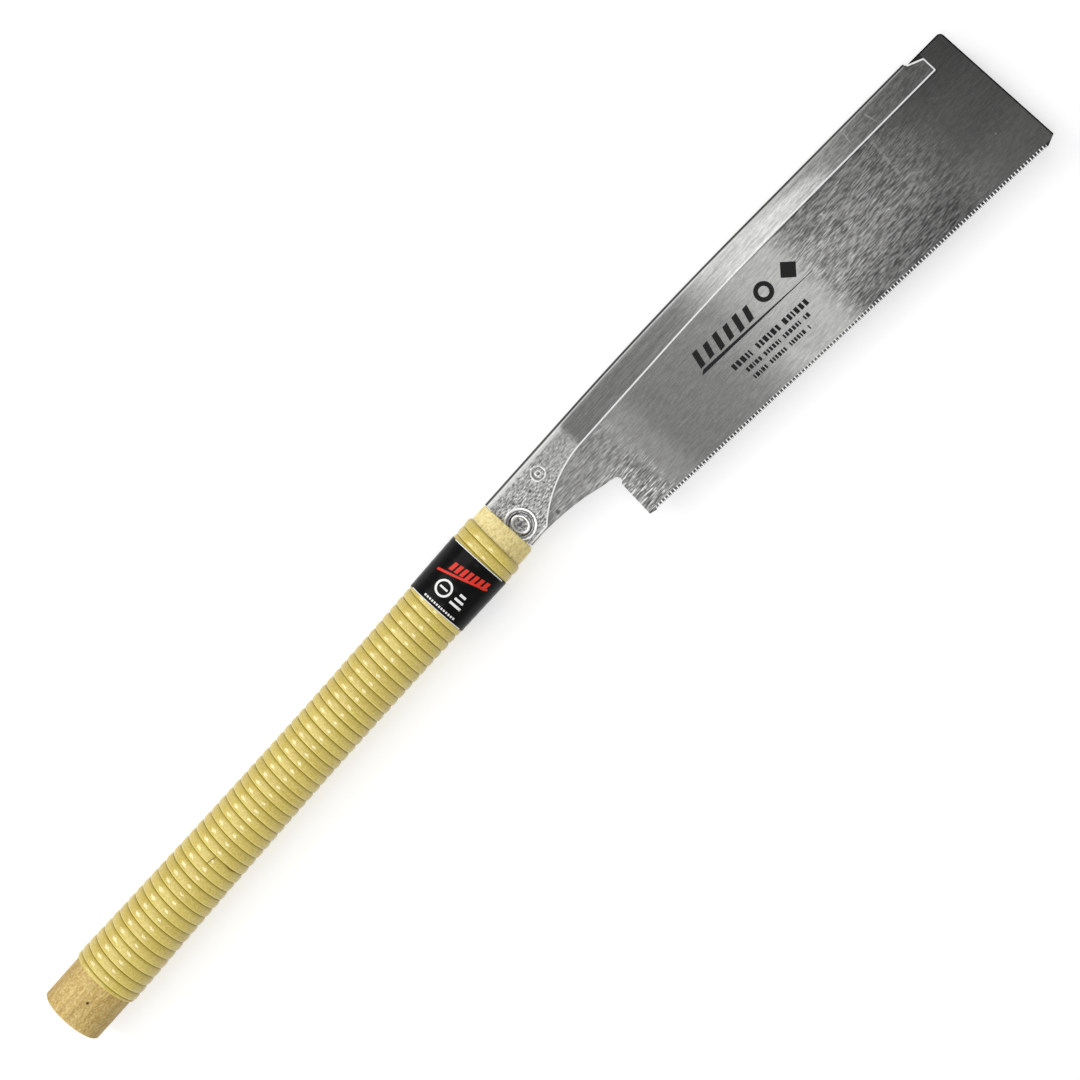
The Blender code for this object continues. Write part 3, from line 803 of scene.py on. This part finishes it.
def cane_strip(name, node, first_turn, last_turn):
    """A left-handed helical strip: flat below, crowned above, with its own small unevenness."""
    stations = round((last_turn - first_turn) * 72)
    rings, lengths, length, previous = [], [], 0.0, None
    for turn in steps_between(first_turn, last_turn, stations):
        angle = -math.pi / 2 - math.tau * turn
        slack = 0.5 * math.exp(-((turn + 0.5 - 15.89) / 0.03) ** 2)
        gap = (0.02 + 0.02 * groove_noise(turn + 0.5, 1) + slack) * MM
        rear_gap = (0.02 + 0.02 * groove_noise(turn - 0.5, 1)) * MM
        front = wrap_x(turn + 0.5) + 0.12 * MM * groove_noise(turn + 0.5, 2)
        front = min(front, HEAD_WOOD_X) - gap
        rear = wrap_x(turn - 0.5) + 0.12 * MM * groove_noise(turn - 0.5, 2) + rear_gap
        rear = min(rear, front - CANE_TAIL_WIDTH)
        full = min(1.0, (front - rear) / WRAP_TAIL)
        height = (CANE_HEIGHT + 0.07 * MM * groove_noise(turn * 1.7, 3)) * (0.6 + 0.4 * full)
        skew = 0.012 * math.exp(-abs(turn - WRAP_SPLICE_TURN) / 0.04)
        ring = []
        for across, share in CANE_CROWN:
            ragged = 0.6 * math.sin(19 * across) + 0.4 * math.sin(41 * across)
            twist = math.tau * skew * (across - 0.5 + 0.12 * ragged)
            ring.append(oval_point(front + (rear - front) * across, angle - twist,
                                   CANE_LIFT + (height - CANE_LIFT) * share))
        rings.append(ring)
        middle = ring[len(ring) // 2]
        if previous is not None:
            length += (middle - previous).length
        previous = middle
        lengths.append(length)
    bm = bmesh.new()
    loops = capped_skin(bm, rings)
    layer = bm.loops.layers.uv.new("strip")
    places = {}
    for loop, along in zip(loops, lengths):
        for vertex, (across, _) in zip(loop, CANE_CROWN):
            places[vertex] = (along, across)
    for face in bm.faces:
        for corner in face.loops:
            corner[layer].uv = places[corner.vert]
    finish_piece(bm, name, "handle", "cane", CANE, node, sharp=60)


def make_label():
    """The film lies on the winding's crests and dips a little between them; returns its height."""
    sides = 160
    rear, front = LABEL_LOW.x, LABEL_HIGH.x
    film = LABEL_HIGH.y - half_width(front) - 0.02 * MM
    rings = []
    for x in steps_between(rear, front, 96):
        dip = 0.05 * MM * (1 - math.cos(math.tau * (x - rear) / (4.62 * MM))) / 2
        rings.append(oval_ring(x, film - dip, sides))
    rings += [oval_ring(x, CANE_HEIGHT + 0.02 * MM, sides) for x in (front, rear)]
    bm = bmesh.new()
    skin(bm, rings, closed_row=True)
    finish_piece(bm, "label_wrap", "handle", "label_film", FILM, "label_band")
    return film


def on_label(x, y, lift):
    """The point over (x, y) in plan on the upper side, at a height above the wood."""
    width = half_width(x) + lift
    angle = math.acos(max(-1.0, min(1.0, y / width)))
    return oval_point(x, angle, lift)


def print_patch(bm, corners, place, cell=0.8 * MM):
    """A four-cornered print mark, divided finely enough to follow its surface."""
    a, b, c, d = [Vector(corner) * MM for corner in corners]
    across = max(1, math.ceil((b - a).length / cell))
    along = max(1, math.ceil((d - a).length / cell))
    grid = []
    for i in range(along + 1):
        left, right = a.lerp(d, i / along), b.lerp(c, i / along)
        grid.append([bm.verts.new(place(left.lerp(right, j / across))) for j in range(across + 1)])
    for first, second in zip(grid, grid[1:]):
        for j in range(across):
            bm.faces.new((first[j], first[j + 1], second[j + 1], second[j]))


def print_ring(bm, centre, inner, outer, place, sides=40):
    """A plain round ring of print."""
    x, y = centre
    for i in range(sides):
        corners = []
        for radius, step in ((inner, i), (outer, i), (outer, i + 1), (inner, i + 1)):
            angle = math.tau * step / sides
            corners.append((x + radius * math.cos(angle), y + radius * math.sin(angle)))
        print_patch(bm, corners, place)


def bar(x, y, length, width, slant=0.0):
    """Corners of an upright bar centred at a place, leaning by a slant."""
    half, tall = width / 2, length / 2
    low, high = y - tall, y + tall
    return [(x - half - slant, low), (x + half - slant, low), (x + half + slant, high),
            (x - half + slant, high)]


def print_piece(bm, name, body, material):
    """Print has one upward side only, so its normals are set by hand."""
    for face in bm.faces:
        face.normal_update()
        if face.normal.z < 0:
            face.normal_flip()
    mesh = mesh_from(bm, name, material)
    mesh.shade_smooth()
    piece = add_object(name, mesh)
    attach(piece, body)


def make_label_print(film):
    """Generic marks: a ring and bars in white, and a slanted red band of blocks."""
    def place(point):
        return on_label(point.x, point.y, film + 0.03 * MM)

    white = bmesh.new()
    print_ring(white, (252.0, 3.2), 3.1, 4.1, place)
    print_patch(white, bar(252.0, 3.2, 4.2, 0.9), place)
    for step in range(3):
        print_patch(white, bar(249.4 + 2.6 * step, -5.6, 6.0 - 1.4 * step, 1.2), place)
    for step in range(13):
        print_patch(white, bar(244.6, 7.4 - 1.35 * step, 0.85, 0.95), place)
    for edge_x in (LABEL_LOW.x / MM + 0.25, LABEL_HIGH.x / MM - 0.25):
        print_patch(white, bar(edge_x, 0.0, 27.6, 0.4), place)
    print_piece(white, "label_marks_white", "handle", WHITE_INK)

    red = bmesh.new()
    print_patch(red, [(256.0, 11.2), (257.2, 11.4), (264.2, -11.6), (263.2, -11.6)], place)
    for step in range(7):
        y = 6.6 - 2.7 * step
        x = 261.6 + 0.42 * step
        block = [(x - 1.6, y - 0.9), (x + 2.6, y - 1.5), (x + 2.4, y + 0.3), (x - 1.9, y + 0.9)]
        print_patch(red, block, place)
    print_piece(red, "label_marks_red", "handle", RED_INK)


# ---- spine, neck and rivet
S_CURVE = interpolate_bezier(
    Vector((302.5, NECK_LOW_Y / MM)), Vector((311.7, -4.9)), Vector((326.0, LIP_Y / MM)),
    Vector((340.0, LIP_Y / MM)), 80)


def lip_y(x):
    """The sheet's lower edge: the neck's, its S-shaped front, the fold's lip and its corner."""
    if x <= S_CURVE[0].x * MM:
        return NECK_LOW_Y
    if x >= S_CURVE[-1].x * MM:
        corner = max(0.0, x - (SPINE_END_X - LIP_CORNER))
        rise = LIP_CORNER - math.sqrt(max(0.0, LIP_CORNER ** 2 - corner ** 2))
        return bent_line(x, LIP_Y, LIP_BEND_X, LIP_BEND_RADIUS, SLOPE) + rise
    for first, second in zip(S_CURVE, S_CURVE[1:]):
        if x <= second.x * MM:
            part = (x / MM - first.x) / (second.x - first.x)
            return (first.y + (second.y - first.y) * part) * MM
    return LIP_Y


def rim_distance(x, y):
    """Distance in plan from the sheet's cut edges: lip, S-curve, front end and its diagonal."""
    step = 0.2 * MM
    slope = (lip_y(min(x + step, SPINE_END_X)) - lip_y(x)) / step if x < 340 * MM else 0.0
    distance = (y - lip_y(x)) / math.sqrt(1 + slope * slope)
    distance = min(distance, SPINE_END_X - x)
    if x > FOLD_END_X:
        distance = min(distance, (CUT_START - Vector((x, y))).dot(CUT_NORMAL))
    return max(0.0, distance)


def sheet_half(drop):
    """Half thickness over the folded sheet at a drop under its back edge."""
    drop_mm = drop / MM
    for (near, thick), (far, thin) in zip(FOLD, FOLD[1:]):
        if drop_mm <= far:
            return (thick + (thin - thick) * (drop_mm - near) / (far - near)) * MM
    return CHEEK_HALF


def bead(distance, radius, half_width_mm, height_mm):
    """Height of a round bead that follows a circle."""
    share = (distance - radius) / (half_width_mm * MM)
    return height_mm * MM * math.sqrt(1 - share * share) if abs(share) < 1 else 0.0


def relief(x, y):
    """Height pressed into the neck: two beads and a sunk pan round the rivet, and a stamp."""
    distance = math.hypot(x - PIVOT.x, y - PIVOT.y)
    pan = -PAN_DEPTH * (1 - smooth(distance, PAN_RADIUS, 5.3 * MM))
    outer_ring = bead(distance, RING_RADIUS, 0.5, 0.28)
    rings = max(outer_ring, bead(distance, INNER_RING_RADIUS, 0.28, 0.12))
    from_stamp = math.hypot(x - STAMP[0], y - STAMP[1])
    stamp = sum(0.14 * MM * math.exp(-((from_stamp - radius) / (0.35 * MM)) ** 2)
                for radius in STAMP_RADII)
    return pan + rings + stamp


def sheet_rows(x, low):
    """Drops under the back edge for one station, from the fold down to the lip."""
    depth = back_y(x) - low
    rows = [drop * MM for drop, _ in FOLD[1:9]]
    rows += steps_between(rows[-1], depth - 0.6 * MM, 56)[1:]
    return rows + [depth - above * MM for above in (0.45, 0.3, 0.2, 0.12, 0.05, 0.0)]


def slice_faces(bm, past, place, normal):
    """Divides the faces whose middle a test picks along a plane, and keeps both sides."""
    faces = [face for face in bm.faces if past(face.calc_center_median().x)]
    verts = {vert for face in faces for vert in face.verts}
    edges = {edge for face in faces for edge in face.edges}
    geometry = list(verts) + list(edges) + faces
    bmesh.ops.bisect_plane(bm, geom=geometry, plane_co=place, plane_no=normal, dist=1e-6)


def make_spine():
    """One sheet folded over the blade, thickened inwards: channel, cheeks and tang."""
    stations = steps_between(TANG_REAR_X, 286 * MM, 6) + steps_between(286.4 * MM, 325 * MM, 110)
    stations += steps_between(325.6 * MM, 345 * MM, 34) + steps_between(347 * MM, FOLD_END_X, 108)
    stations += steps_between(FOLD_END_X, SPINE_END_X - 0.8 * MM, 14)[1:]
    stations += [SPINE_END_X - above * MM for above in (0.65, 0.5, 0.35, 0.22, 0.12, 0.05, 0.0)]
    rings = []
    for x in stations:
        low = lip_y(x)
        side = []
        for drop in sheet_rows(x, low):
            y = back_y(x) - drop
            near_rim = max(0.0, 1 - rim_distance(x, y) / RIM)
            roll = RIM * (1 - math.sqrt(1 - near_rim * near_rim))
            side.append(Vector((x, y, sheet_half(drop) + relief(x, y) - roll)))
        top = Vector((x, back_y(x), 0.0))
        rings.append([Vector((p.x, p.y, -p.z)) for p in reversed(side)] + [top] + side)
    bm = bmesh.new()
    skin(bm, rings, closed_ring=False)
    along, across = Vector((1, 0, 0)), Vector((0, 1, 0))
    shoulders = ((along, NECK_X), (across, TANG_HALF_WIDTH), (across, -TANG_HALF_WIDTH))
    for normal, distance in shoulders:
        slice_faces(bm, lambda x: x < NECK_X + 2 * MM, normal * distance, normal)
    cut_start, cut_normal = CUT_START.to_3d(), CUT_NORMAL.to_3d()
    slice_faces(bm, lambda x: x > FOLD_END_X - 1 * MM, cut_start, cut_normal)
    doomed = []
    for face in bm.faces:
        centre = face.calc_center_median()
        if centre.x < NECK_X and abs(centre.y) > TANG_HALF_WIDTH:
            doomed.append(face)
        elif centre.x > FOLD_END_X and (centre - cut_start).dot(cut_normal) > 0:
            doomed.append(face)
    bmesh.ops.delete(bm, geom=doomed, context="FACES")
    bmesh.ops.recalc_face_normals(bm, faces=bm.faces)
    highest = max(bm.faces, key=lambda f: f.calc_center_median().z)
    if highest.normal.z < 0:
        bmesh.ops.reverse_faces(bm, faces=bm.faces)
    piece = add_object("folded_spine", mesh_from(bm, "folded_spine", SPINE_STEEL))
    solid = piece.modifiers.new("sheet", "SOLIDIFY")
    solid.thickness = SHEET
    solid.offset = -1.0
    bake_modifiers(piece)
    shade(piece.data, 50)
    add_plan_map(piece.data)
    rim = piece.data.uv_layers.new(name="rim")
    for corner in piece.data.loops:
        x, y, _ = piece.data.vertices[corner.vertex_index].co
        rim.data[corner.index].uv = (min(rim_distance(x, y) / MM, 5.0), (back_y(x) - y) / MM)
    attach(piece, "handle")
    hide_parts("spine_holder")


def ellipse(centre, half_x, half_y, z, sides=72):
    angles = [math.tau * i / sides for i in range(sides)]
    return [(centre.x + half_x * math.cos(a), centre.y + half_y * math.sin(a), z) for a in angles]


def make_rivet():
    """The shaft with a dished, slightly oval head formed on each end."""
    centre = (RIVET_HIGH + RIVET_LOW) / 2
    under = CHEEK_HALF + 0.05 * MM
    rise = RIVET_HALF.z - under
    rings = [ellipse(PIVOT, SHAFT_RADIUS, SHAFT_RADIUS, under)]
    rings += [ellipse(centre, RIVET_HALF.x * share, RIVET_HALF.y * share, under + rise * up)
              for share, up in RIVET_HEAD]
    other = [[(x, y, -z) for x, y, z in ring] for ring in reversed(rings)]
    bm = bmesh.new()
    capped_skin(bm, other + rings)
    finish_piece(bm, "neck_rivet", "handle", "stainless", RIVET_STEEL, "hook_rivet", sharp=50)


# ---- blade
def body_outline():
    """The blade's outline without teeth, from the toe round the tip and the hook to the heel."""
    corner_x = BLADE_TIP_X - TIP_CORNER_RADIUS
    corner = (corner_x, back_y(corner_x) - BLADE_BACK_DROP - TIP_CORNER_RADIUS)
    points = [TOE, Vector((BLADE_TIP_X, TOE_BEVEL_Y))]
    points += arc(corner, TIP_CORNER_RADIUS, 0, 90, 14)
    points += [Vector((x, back_y(x) - BLADE_BACK_DROP))
               for x in steps_between(corner_x, 305.6 * MM, 60)[1:]]
    tilt = math.radians(15)
    out = Vector((-math.sin(tilt), math.cos(tilt)))
    side = Vector((out.y, -out.x)) * HOOK_NOTCH_RADIUS
    centre = PIVOT.xy
    points.append(centre + side + out * HOOK_RADIUS)
    points += arc(centre, HOOK_NOTCH_RADIUS, 15, -165, 32)
    points.append(centre - side + out * 3.8 * MM)
    points += arc(centre, HOOK_RADIUS, 140, 235, 24)
    points.append(Vector((291.6, -13.2)) * MM)
    bend_x, bend_radius, slope = 296 * MM, 0.114, 0.27
    for x in [*steps_between(bend_x, bend_x + slope * bend_radius, 16), 337.6 * MM]:
        points.append(Vector((x, bent_line(x, -13.2 * MM, bend_x, bend_radius, slope))))
    points += arc(HEEL_NOTCH, HEEL_NOTCH_RADIUS, 68, -18, 12)
    points += [Vector((339.3, -24.0)) * MM, Vector((338.5, -24.7)) * MM, HEEL, HEEL_END]
    return points


def make_blade():
    """A flat plate whose teeth are narrow points set to alternate sides."""
    along = Vector((1.0, -TOOTH_LINE_SLOPE)).normalized()
    inward = Vector((-along.y, along.x))
    start = TOE - along * TOOTH_PAIR_PITCH * TOOTH_PAIRS
    outline = [(point, None) for point in body_outline()]
    for i in range(TOOTH_PAIRS):
        corner = start + along * TOOTH_PAIR_PITCH * i
        spots = [corner + along * run * MM + inward * depth * MM for run, depth in TOOTH_PAIR]
        sides = (None, 1.0, None, -1.0, None)
        outline += list(zip(spots, sides))
    bm = bmesh.new()
    upper, lower = [], []
    for point, side in outline:
        shift = TOOTH_SET * side if side else 0.0
        thick = 0.03 * MM if side else BLADE_HALF
        upper.append(bm.verts.new((point.x, point.y, shift + thick)))
        lower.append(bm.verts.new((point.x, point.y, shift - thick)))
    count = len(outline)
    for i in range(count):
        j = (i + 1) % count
        bm.faces.new((upper[i], upper[j], lower[j], lower[i]))
    flat = [i for i, (_, side) in enumerate(outline) if side is None]
    grid = []
    for x in steps_between(340 * MM, 578 * MM, 34):
        lowest = TOE.y - TOOTH_LINE_SLOPE * (x - TOE.x) + 6 * MM
        grid += [Vector((x, y)) for y in steps_between(back_y(x) - 5 * MM, lowest, 7)]
    plan = [outline[i][0] for i in flat] + grid
    ring = [(i, (i + 1) % len(flat)) for i in range(len(flat))]
    points, _, triangles, _, _, _ = delaunay_2d_cdt(plan, ring, [], 1, 1e-7)
    for verts, z in ((upper, BLADE_HALF), (lower, -BLADE_HALF)):
        skin_verts = [verts[i] for i in flat] + [bm.verts.new((p.x, p.y, z)) for p in grid]
        if len(points) != len(skin_verts):
            raise SystemExit("the blade's outline crosses itself")
        for corners in triangles:
            bm.faces.new([skin_verts[i] for i in corners])
        for i, (_, side) in enumerate(outline):
            if side is not None:
                bm.faces.new((verts[i - 1], verts[i], verts[(i + 1) % count]))
    piece = finish_piece(bm, "saw_plate", "blade", "blade_steel", BLADE_STEEL, "blade", sharp=0.5)
    add_plan_map(piece.data)


def make_blade_print():
    """A generic print: slanted blocks, a ring and a diamond over a bar, then rows of dashes."""
    def place(point):
        return Vector((point.x, point.y, BLADE_HALF + 0.01 * MM))

    def line_y(x, y):
        """A line's height at x; the print runs at a slope round its middle."""
        return y - 0.1 * (x - 430)

    bm = bmesh.new()
    for step in range(6):
        x = 402.5 + 5.9 * step
        corners = bar(x, line_y(x, -15.8), 7.6 - 1.0 * (step % 2), 3.0, 1.1)
        print_patch(bm, corners, place, cell=4 * MM)
    print_ring(bm, (444.0, -14.6), 2.5, 4.7, place)
    x, y, reach = 458.5, -16.2, 5.0
    diamond = [(x - reach, y), (x, y - reach), (x + reach, y), (x, y + reach)]
    print_patch(bm, diamond, place, cell=4 * MM)
    left_y, right_y = -21.4 + 3.05, -21.4 - 3.15
    underline = [(398.0, left_y - 0.9), (465.5, right_y - 0.1), (465.5, right_y + 0.1),
                 (400.4, left_y + 0.7)]
    print_patch(bm, underline, place, cell=8 * MM)
    rng = random.Random(27)
    rows = ((-29.4, 409.5, 453.5, 3.0, 1.0), (-34.2, 413.0, 449.0, 2.1, 0.72),
            (-38.6, 413.0, 446.5, 2.1, 0.72))
    for y, left, right, tall, wide in rows:
        x, step = left, 0
        while x < right:
            width = wide * rng.uniform(0.8, 2.2)
            if step % 7 != 5:
                corners = bar(x + width / 2, line_y(x, y), tall, width)
                print_patch(bm, corners, place, cell=4 * MM)
            x += width + wide * 0.8
            step += 1
    print_piece(bm, "blade_print", "blade", BLACK_INK)


# ---- camera, floor and lights
def make_camera():
    """Straight above the saw, turned so that it lies slanted in the picture."""
    camera = add_object("camera", bpy.data.cameras.new("camera"))
    camera.location = (0.2957, -0.0141, 0.78)
    camera.rotation_euler = (0.0, 0.0, math.radians(-48.2))
    camera.data.lens = 58.6
    camera.data.clip_start = 0.01
    camera.data.clip_end = 20.0
    bpy.context.scene.camera = camera


def make_floor():
    shader = Shader("pale_floor", Roughness=0.9, Specular_IOR_Level=0.1, Emission_Strength=0.5)
    shader.set("Base Color", (0.60, 0.60, 0.60, 1.0))
    shader.set("Emission Color", WHITE)
    bm = bmesh.new()
    bmesh.ops.create_grid(bm, x_segments=1, y_segments=1, size=9.0)
    floor = add_object("floor", mesh_from(bm, "floor", shader.material))
    floor.location = (0.29, 0.0, CAD_BOX[0].z - 0.1 * MM)


def area_light(name, place, target, size, energy):
    light = bpy.data.lights.new(name, "AREA")
    light.shape = "RECTANGLE"
    light.size, light.size_y = size
    light.energy = energy
    lamp = add_object(name, light)
    lamp.location = place
    towards = Vector(target) - Vector(place)
    lamp.rotation_euler = towards.to_track_quat("-Z", "Y").to_euler()


def make_world():
    """A soft sky: bright overhead, darker beyond the saw's tip, with a glow at the horizon."""
    world = bpy.data.worlds.new("studio")
    world.use_nodes = True
    nodes, links = world.node_tree.nodes, world.node_tree.links
    background = nodes["Background"]
    background.inputs["Color"].default_value = WHITE
    direction = nodes.new("ShaderNodeTexCoord")
    parts = nodes.new("ShaderNodeSeparateXYZ")
    links.new(direction.outputs["Generated"], parts.inputs[0])

    def fade(axis, *amounts):
        """A smooth change with the direction's part on an axis: low, high, at low, at high."""
        node = nodes.new("ShaderNodeMapRange")
        node.interpolation_type = "SMOOTHSTEP"
        for socket, value in zip(node.inputs[1:5], amounts):
            socket.default_value = value
        links.new(parts.outputs[axis], node.inputs[0])
        return node.outputs[0]

    def join(operation, *sockets):
        node = nodes.new("ShaderNodeMath")
        node.operation = operation
        for socket, target in zip(sockets, node.inputs):
            links.new(socket, target)
        return node.outputs[0]

    to_tip = fade(0, 0.22, 0.36, SKY_BRIGHT, SKY_DARK)
    sky = join("MULTIPLY", to_tip, fade(2, 0.35, 0.75, 0.35, 1.0))
    total = join("ADD", sky, fade(2, 0.0, 0.65, SKY_GLOW, 0.0))
    links.new(total, background.inputs["Strength"])
    bpy.context.scene.world = world


def make_lights():
    middle = (0.29, 0.0, 0.0)
    area_light("key", (0.0, 1.1, 1.85), middle, (3.0, 1.5), 17.5)
    area_light("key_spot", (-0.5, 1.55, 1.2), (0.12, 0.0, 0.0), (0.56, 0.62), 11.0)
    area_light("near_camera", (-0.3, -0.1, 1.6), (0.1, 0.0, 0.0), (0.34, 0.40), 4.9)
    area_light("handle_side", (-1.3, 0.2, 1.2), middle, (1.2, 1.2), 6.0)
    area_light("front_side", (0.6, -1.6, 1.1), middle, (1.2, 0.8), 0.8)
    area_light("blade_band", (0.805, -0.06, 1.6), (0.805, -0.06, 0.0), (0.21, 1.1), 0.82)
    bpy.context.scene.view_settings.view_transform = "Standard"


make_camera()
make_floor()
make_world()
make_lights()
make_wood()
cane_strip("cane_rear", "cane_strip_rear", 0.0, WRAP_SPLICE_TURN - 0.0022)
cane_strip("cane_front", "cane_strip_front", WRAP_SPLICE_TURN + 0.0022, WRAP_TURNS)
make_label_print(make_label())
make_spine()
make_rivet()
make_blade()
make_blade_print()
for pin in TANG_PINS:
    node = frame["nodes"][pin]
    for material_slot in node.material_slots:
        material_slot.material = RIVET_STEEL
